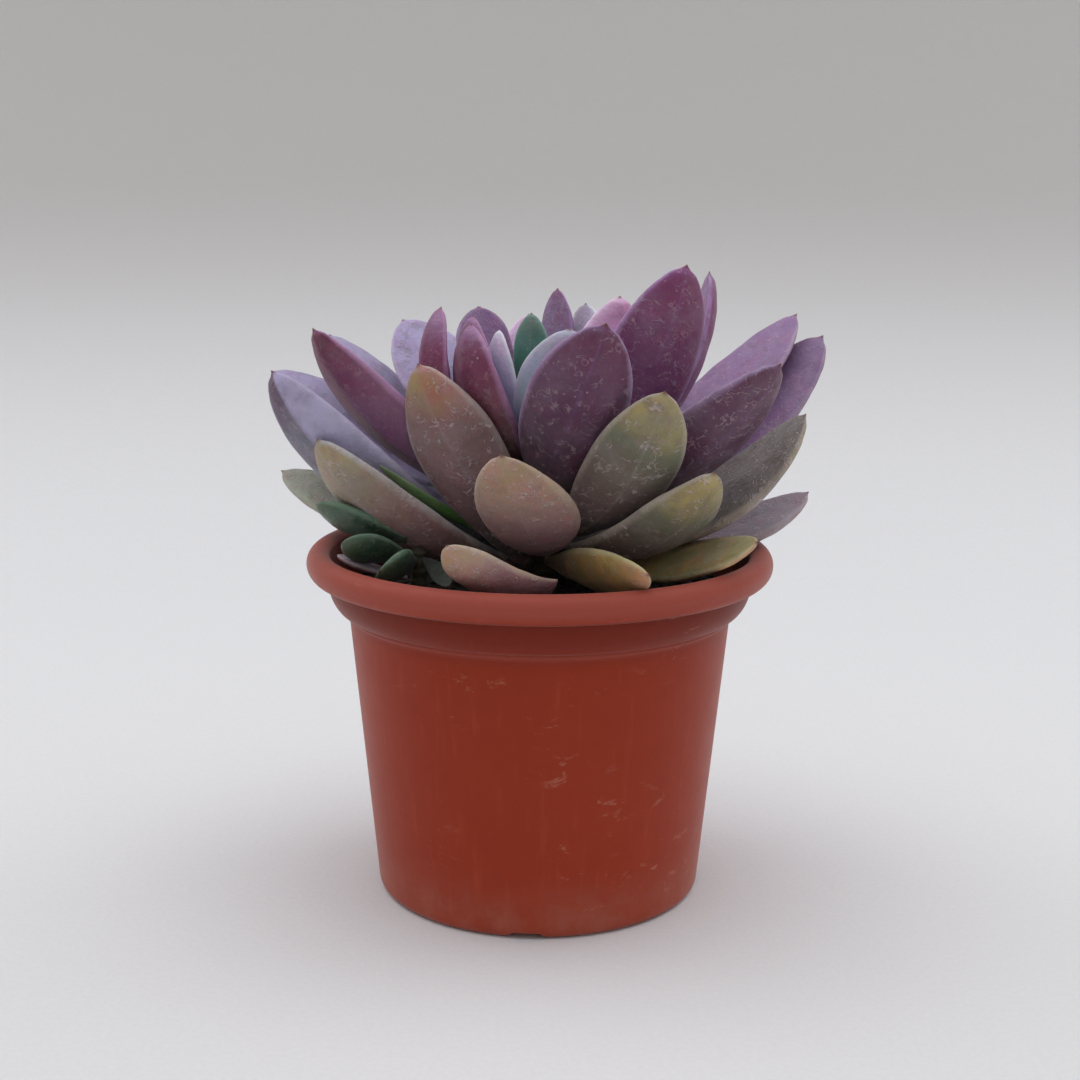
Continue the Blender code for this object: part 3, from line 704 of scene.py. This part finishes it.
def pot_material():
    """Matte moulded plastic: mottling, flow lines, painted shade under the bead, painted highlights on the
    rim and where the collar meets the wall, patches lighter near the base, scuffs, specks.
    """
    g = Graph("terracotta_plastic")
    place = g.place()
    broad = g.noise(place, 22, 3)
    middle = g.noise(place, 160, 4, 0.6)
    fine = g.noise(place, 1500, 3, 0.6)
    colour = g.mix(g.smooth(broad, 0.3, 0.7), *PLASTIC_TONES)
    colour = g.mix(g.smooth(middle, 0.35, 0.75, 0.0, 0.35), colour, MOTTLE_TONE)
    streaks = g.noise(g.stretch(place, (1, 1, 0.08)), 420, 3, 0.6)
    colour = g.mix(g.smooth(streaks, 0.55, 0.75, 0.0, 0.2), colour, FLOW_TONE)
    height = g.split(place)[2]
    # Painted shade: the collar darkened under the overhanging bead
    below_bead = g.smooth(height, BEAD_UNDERSIDE + MM, BEAD_UNDERSIDE)
    shade = g.math("MULTIPLY", g.smooth(height, *COLLAR_PAINTED_SHADE_HEIGHTS), below_bead)
    colour = g.mix(g.math("MULTIPLY", shade, 0.75), colour, COLLAR_PAINTED_SHADE_TONE)
    # Painted highlight: the rim bead made lighter and pinker
    rim = g.smooth(height, BEAD_UNDERSIDE, BEAD_WIDEST_Z)
    colour = g.mix(g.math("MULTIPLY", rim, 0.8), colour, RIM_HIGHLIGHT_TONE)
    # Painted highlight: a light band where the collar meets the wall
    band_highlight = g.math("MULTIPLY", g.smooth(height, *COLLAR_FOOT_HIGHLIGHT_BELOW), g.smooth(height, *COLLAR_FOOT_HIGHLIGHT_ABOVE))
    colour = g.mix(g.math("MULTIPLY", band_highlight, 0.35), colour, RIM_HIGHLIGHT_TONE)
    # Lighter in patches towards the bottom of the pot
    foot = g.math("MULTIPLY", g.smooth(height, *FOOT_LIGHTER_HEIGHTS), g.smooth(middle, 0.35, 0.7, 0.2, 0.6))
    colour = g.mix(foot, colour, FOOT_LIGHTER_TONE)
    scuff = g.noise(g.stretch(place, (1, 1, 2.6)), 120, 5, 0.75, 0.6)
    rubbed = g.smooth(g.noise(place, 36, 2), 0.48, 0.62)
    scuff_share = g.math("MULTIPLY", g.smooth(scuff, 0.585, 0.68), rubbed)
    colour = g.mix(g.math("MULTIPLY", scuff_share, 0.45), colour, SCUFF_TONE)
    dust = g.smooth(g.cells(place, 420)["Distance"], 0.10, 0.04)
    dust = g.math("MULTIPLY", dust, g.smooth(g.noise(place, 60, 2), 0.60, 0.72))
    colour = g.mix(g.math("MULTIPLY", dust, 0.6), colour, SPECK_TONE)
    g.set("Base Color", colour)
    rough = g.math("ADD", g.math("MULTIPLY", middle, 0.16), 0.40)
    g.set("Roughness", g.math("ADD", rough, g.math("MULTIPLY", scuff_share, 0.12)))
    g.set("Normal", g.bump(fine, 0.00004, 0.5, g.bump(middle, 0.00012, 0.3)))
    g.set("Specular IOR Level", 0.15)
    g.set("Sheen Weight", 0.20)
    g.set("Sheen Roughness", 0.4)
    g.set("Sheen Tint", (1.0, 0.80, 0.76, 1.0))
    return g.material


def make_pot():
    material = pot_material()
    pot = turned("pot_shell", pot_profile(), POT_SEGMENTS, material)
    cutters = []
    for k in range(DRAIN_COUNT):
        cutters += drain_cutters(DRAIN_TURN + 2 * math.pi * k / DRAIN_COUNT, material)
    cut(pot, cutters)
    pot.data.shade_smooth()
    pot.data.set_sharp_from_angle(angle=math.radians(38))
    settle(pot, "pot", "pot")


def soil_material():
    g = Graph("potting_soil")
    place = g.place()
    tone = g.attribute("tone", "Fac")
    broad = g.noise(place, 180, 4, 0.65)
    fine = g.noise(place, 1400, 4, 0.7)
    colour = g.ramp(broad, SOIL_TONES)
    colour = g.mix(g.smooth(tone, 0.86, 0.94), colour, BARK_CRUMB_TONE)
    g.set("Base Color", colour)
    g.set("Roughness", g.smooth(fine, 0.2, 0.8, 0.75, 1.0))
    g.set("Normal", g.bump(fine, 0.0004, 0.9))
    return g.material


def soil_height(radius):
    """The soil's surface above the base, mounded in the middle and dipping to the wall."""
    points = [(0, SOIL_MIDDLE_Z), (16 * MM, SOIL_MIDDLE_Z - 0.4 * MM), (32 * MM, SOIL_MIDDLE_Z - 2 * MM)]
    points.append((SOIL_EDGE_RADIUS, SOIL_EDGE_Z))
    for (r1, z1), (r2, z2) in zip(points, points[1:]):
        if radius <= r2:
            return z1 + (z2 - z1) * (radius - r1) / (r2 - r1)
    return SOIL_EDGE_Z


def make_soil():
    material = soil_material()
    segments = 160
    rings = 60
    verts = [(0, 0, SOIL_MIDDLE_Z)]
    for k in range(1, rings + 1):
        radius = SOIL_EDGE_RADIUS * k / rings
        for n in range(segments):
            turn = 2 * math.pi * n / segments
            x, y = radius * math.cos(turn), radius * math.sin(turn)
            lump = noise.fractal(Vector((x * 260, y * 260, 1.3)), 0.8, 2.1, 4) * 0.7 * MM
            verts.append((x, y, soil_height(radius) - 0.5 * MM + lump))
    skirt = [(SOIL_EDGE_RADIUS, SOIL_EDGE_Z - 1.5 * MM), (WALL_TOP_RADIUS - WALL - 0.3 * MM, COLLAR_START_Z),
             (BASE_RADIUS - WALL - 0.3 * MM, FLOOR + FOOT_FILLET + 0.3 * MM),
             (BASE_RADIUS - WALL - FOOT_FILLET, FLOOR + 0.3 * MM)]
    for radius, z in skirt:
        for n in range(segments):
            turn = 2 * math.pi * n / segments
            verts.append((radius * math.cos(turn), radius * math.sin(turn), z))
    verts.append((0, 0, FLOOR + 0.3 * MM))
    faces = [(0, 1 + n, 1 + (n + 1) % segments) for n in range(segments)]
    for k in range(rings + len(skirt) - 1):
        row = 1 + k * segments
        for n in range(segments):
            after = (n + 1) % segments
            faces.append((row + n, row + segments + n, row + segments + after, row + after))
    last = 1 + (rings + len(skirt) - 1) * segments
    for n in range(segments):
        faces.append((last + n, len(verts) - 1, last + (n + 1) % segments))
    soil = add_mesh("soil_bed", verts, faces, material)
    face_outward(soil)
    tone = soil.data.attributes.new("tone", "FLOAT", "POINT")
    tone.data.foreach_set("value", np.zeros(len(verts), np.float32))
    settle(soil, "soil", "soil")
    settle(make_grains(material), "soil")


def make_grains(material):
    """Crumbs of bark and peat lying on the soil, joined as one piece."""
    random.seed(5)
    body = bmesh.new()
    layer = body.verts.layers.float.new("tone")
    for _ in range(900):
        radius = SOIL_EDGE_RADIUS * math.sqrt(random.uniform(0.02, 0.97))
        turn = random.uniform(0, 2 * math.pi)
        size = random.uniform(0.35, 1.0) * MM * (1.6 if random.random() < 0.1 else 1.0)
        spot = Vector((radius * math.cos(turn), radius * math.sin(turn), soil_height(radius) - 0.2 * MM))
        pose = Matrix.Translation(spot) @ Matrix.Rotation(random.uniform(0, 6.28), 4, "Z")
        pose = pose @ Matrix.Rotation(random.uniform(-0.6, 0.6), 4, "X")
        shape = (random.uniform(0.8, 2.2), random.uniform(0.6, 1.1), random.uniform(0.4, 0.8), 1)
        pose = pose @ Matrix.Diagonal(shape)
        made = bmesh.ops.create_icosphere(body, subdivisions=1, radius=size, matrix=pose)
        tone = random.random()
        for vert in made["verts"]:
            vert[layer] = tone
            vert.co += Vector(random.uniform(-0.2, 0.2) * size for _ in range(3))
    mesh = bpy.data.meshes.new("soil_crumbs")
    body.to_mesh(mesh)
    body.free()
    mesh.materials.append(material)
    thing = bpy.data.objects.new("soil_crumbs", mesh)
    bpy.context.scene.collection.objects.link(thing)
    return thing


def stem_material():
    g = Graph("stem_bark")
    place = g.place()
    rings = g.noise(g.stretch(place, (1, 1, 5)), 220, 4, 0.6)
    colour = g.ramp(rings, STEM_TONES)
    young = g.smooth(g.split(place)[2], 0.099, 0.103)
    g.set("Base Color", g.mix(young, colour, YOUNG_STEM_TONE))
    g.set("Roughness", g.smooth(rings, 0.3, 0.7, 0.6, 0.85))
    g.set("Normal", g.bump(rings, 0.0006, 0.7))
    return g.material


def make_stem(name, place, radius, top, material, node):
    """A short stem ringed with the scars of fallen leaves, narrowing to a blunt top."""
    profile = [(0, STEM_FOOT_Z)]
    steps = 70
    for k in range(steps + 1):
        z = STEM_FOOT_Z + (top - STEM_FOOT_Z) * k / steps
        near_top = max(0.0, (z - (top - 0.9 * radius)) / (0.9 * radius))
        swell = 0.95 + 0.05 * math.cos(z / (2.2 * MM) * 2 * math.pi)
        profile.append((max(0.12, math.sqrt(max(0.0, 1 - near_top**2))) * radius * swell, z))
    profile.append((0, top))
    stem = turned(name, profile, 40, material)
    for vert in stem.data.vertices:
        push = 1 + 0.05 * noise.noise(vert.co * 400)
        vert.co.x *= push
        vert.co.y *= push
    stem.location = (*place, 0)
    settle(stem, "stems", node)


def make_stage():
    """A pale round sweep: a flat middle that curves up on every side, darkened up its back as painted shade.
    """
    g = Graph("pale_sweep")
    place = g.place()
    weave = g.noise(place, 900, 2)
    # Painted shade: the sweep goes from the floor tone to a darker tone up its back
    shaded_sweep = g.mix(g.smooth(g.split(place)[2], 0.0, BACK_SHADE_FROM_Z), FLOOR_TONE, SHADED_BACK_TONE)
    g.set("Base Color", g.mix(g.smooth(weave, 0.3, 0.7, 0.0, 0.06), shaded_sweep, WEAVE_TONE))
    g.set("Roughness", 0.95)
    g.set("Normal", g.bump(weave, 0.0003, 0.25))
    line = [(SWEEP_FLAT * k / 6, 0.0) for k in range(7)]
    for k in range(1, 25):
        turn = math.pi / 48 * k
        line.append((SWEEP_FLAT + SWEEP_CURVE_ACROSS * math.sin(turn), SWEEP_CURVE_UP * (1 - math.cos(turn))))
    sides = 120
    verts = [(0, 0, 0)]
    for radius, z in line[1:]:
        for n in range(sides):
            turn = 2 * math.pi * n / sides
            verts.append((radius * math.cos(turn), radius * math.sin(turn), z))
    faces = [(0, 1 + n, 1 + (n + 1) % sides) for n in range(sides)]
    for k in range(len(line) - 2):
        row = 1 + k * sides
        for n in range(sides):
            after = (n + 1) % sides
            faces.append((row + n, row + sides + n, row + sides + after, row + after))
    add_mesh("sweep", verts, faces, g.material)


def aim(thing, target):
    direction = Vector(target) - thing.location
    thing.rotation_euler = direction.to_track_quat("-Z", "Y").to_euler()


def area_light(name, place, target, width, height, power, colour):
    light = bpy.data.lights.new(name, "AREA")
    light.shape = "RECTANGLE"
    light.size = width
    light.size_y = height
    light.energy = power
    light.color = colour
    thing = bpy.data.objects.new(name, light)
    bpy.context.scene.collection.objects.link(thing)
    thing.location = place
    aim(thing, target)


def make_lights():
    area_light("overhead", (0.0, -0.02, 0.85), LIGHT_TARGET, 1.0, 0.8, 3.2, (1.0, 0.985, 0.97))
    area_light("left_window", (-0.62, 0.22, 0.6), LIGHT_TARGET, 0.5, 0.5, 0.9, (0.96, 0.975, 1.0))
    area_light("right_window", (0.62, 0.2, 0.6), LIGHT_TARGET, 0.5, 0.5, 0.9, (0.96, 0.975, 1.0))
    world = bpy.data.worlds.new("studio")
    bpy.context.scene.world = world
    world.use_nodes = True
    background = world.node_tree.nodes["Background"]
    background.inputs["Color"].default_value = (0.95, 0.96, 1.0, 1.0)
    background.inputs["Strength"].default_value = WORLD_STRENGTH


def make_camera():
    camera = bpy.data.cameras.new("camera")
    camera.lens = CAMERA_LENS
    camera.sensor_width = SENSOR
    camera.clip_start = 0.01
    thing = bpy.data.objects.new("camera", camera)
    bpy.context.scene.collection.objects.link(thing)
    tilt = Matrix.Rotation(math.pi / 2 - CAMERA_PITCH, 4, "X")
    thing.matrix_world = Matrix.Translation(CAMERA_PLACE) @ tilt @ Matrix.Rotation(CAMERA_ROLL, 4, "Z")
    bpy.context.scene.camera = thing


make_camera()
make_lights()
make_stage()
make_pot()
make_soil()
bark = stem_material()
make_stem("stem_bark", (0, 0), STEM_RADIUS, STEM_TOP_Z, bark, "stem")
make_stem("offset_stem_bark", OFFSET_PLACE, OFFSET_STEM_RADIUS, OFFSET_STEM_TOP_Z, bark, "offset_stem")
make_leaves()
bpy.context.scene.view_settings.view_transform = "Standard"
